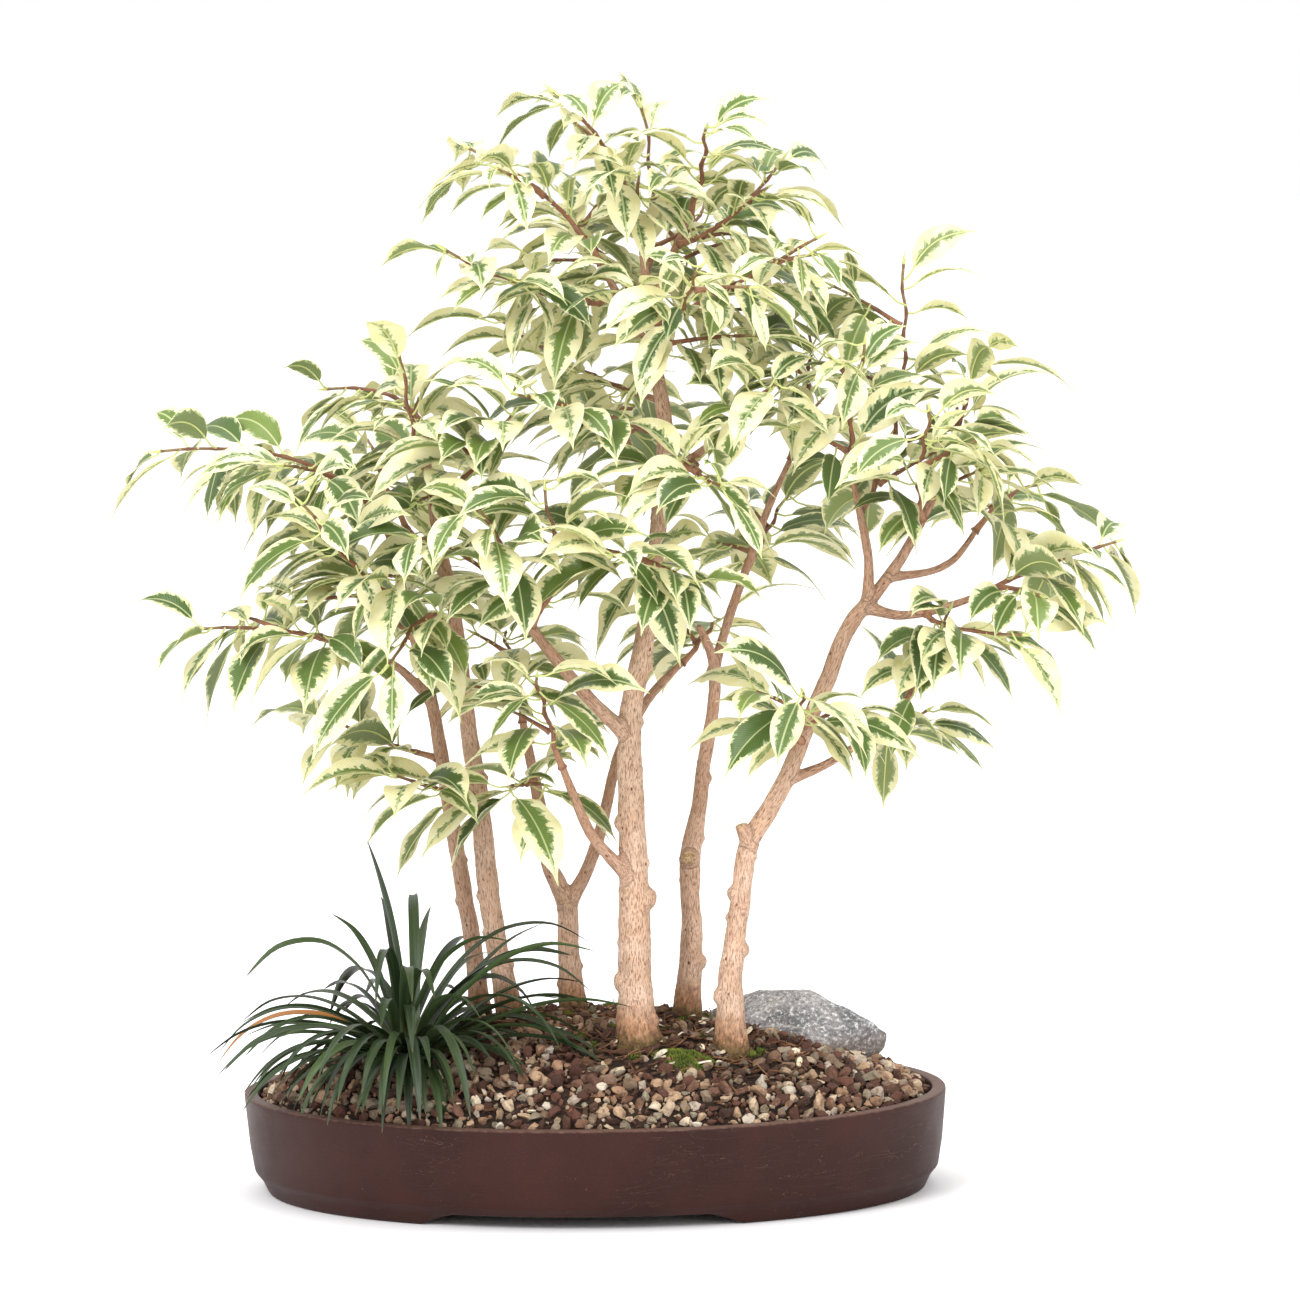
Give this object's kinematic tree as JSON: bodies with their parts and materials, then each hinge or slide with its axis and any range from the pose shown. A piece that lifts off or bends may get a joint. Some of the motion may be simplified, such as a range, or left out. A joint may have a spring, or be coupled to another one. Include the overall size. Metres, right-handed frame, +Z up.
{
  "type": "potted weeping fig",
  "caption": "Group planting of slender variegated weeping figs on a gritty mound in a shallow oval clay tray, with a slab stone, a grass tuft and moss.",
  "frame": {"origin": "on the resting surface, below the middle of the whole plant's box (crown and tray together)", "axes": "+Z up, +X to the right along the tray's length, front towards -Y"},
  "size_m": [0.508, 0.277, 0.5496],
  "materials": {
    "fired_clay": "unglazed, smooth matte",
    "gritty_soil": "loose humus and pumice grit",
    "grey_stone": "rough, mottled",
    "bark": "fine fissured bark",
    "foliage": "waxy leaf, green with cream margins",
    "grass_blade": "satin strap leaf",
    "moss": "soft, matte",
    "mesh_plastic": "matte"
  },
  "bodies": {
    "root": {"drain_mesh_left": "mesh_plastic", "drain_mesh_right": "mesh_plastic", "forked_tree": "bark", "forked_tree_shoot_01": "foliage", "forked_tree_shoot_02": "foliage", "forked_tree_shoot_03": "foliage", "knotted_tree": "bark", "knotted_tree_shoot_01": "foliage", "knotted_tree_shoot_02": "foliage", "left_tree": "bark", "left_tree_shoot_01": "foliage", "left_tree_shoot_02": "foliage", "left_tree_shoot_03": "foliage", "left_tree_shoot_04": "foliage", "left_tree_shoot_05": "foliage", "main_tree": "bark", "main_tree_shoot_01": "foliage", "main_tree_shoot_02": "foliage", "main_tree_shoot_03": "foliage", "main_tree_shoot_04": "foliage", "main_tree_shoot_05": "foliage", "main_tree_shoot_06": "foliage", "main_tree_shoot_07": "foliage", "main_tree_shoot_08": "foliage", "main_tree_shoot_09": "foliage", "main_tree_shoot_10": "foliage", "main_tree_shoot_11": "foliage", "main_tree_shoot_12": "foliage", "main_tree_shoot_13": "foliage", "main_tree_shoot_14": "foliage", "main_tree_shoot_15": "foliage", "main_tree_shoot_16": "foliage", "main_tree_shoot_17": "foliage", "main_tree_shoot_18": "foliage", "main_tree_shoot_19": "foliage", "main_tree_shoot_20": "foliage", "mondo_grass": "grass_blade", "moss_front": "moss", "moss_rear": "moss", "right_tree": "bark", "right_tree_shoot_01": "foliage", "right_tree_shoot_02": "foliage", "right_tree_shoot_03": "foliage", "right_tree_shoot_04": "foliage", "right_tree_shoot_05": "foliage", "right_tree_shoot_06": "foliage", "right_tree_shoot_07": "foliage", "right_tree_shoot_08": "foliage", "right_tree_shoot_09": "foliage", "right_tree_shoot_10": "foliage", "slim_tree": "bark", "slim_tree_shoot_01": "foliage", "slim_tree_shoot_02": "foliage", "slim_tree_shoot_03": "foliage", "slim_tree_shoot_04": "foliage", "slim_tree_shoot_05": "foliage", "slim_tree_shoot_06": "foliage", "soil": "gritty_soil", "stone": "grey_stone", "tray": "fired_clay"}
  },
  "joints": []
}
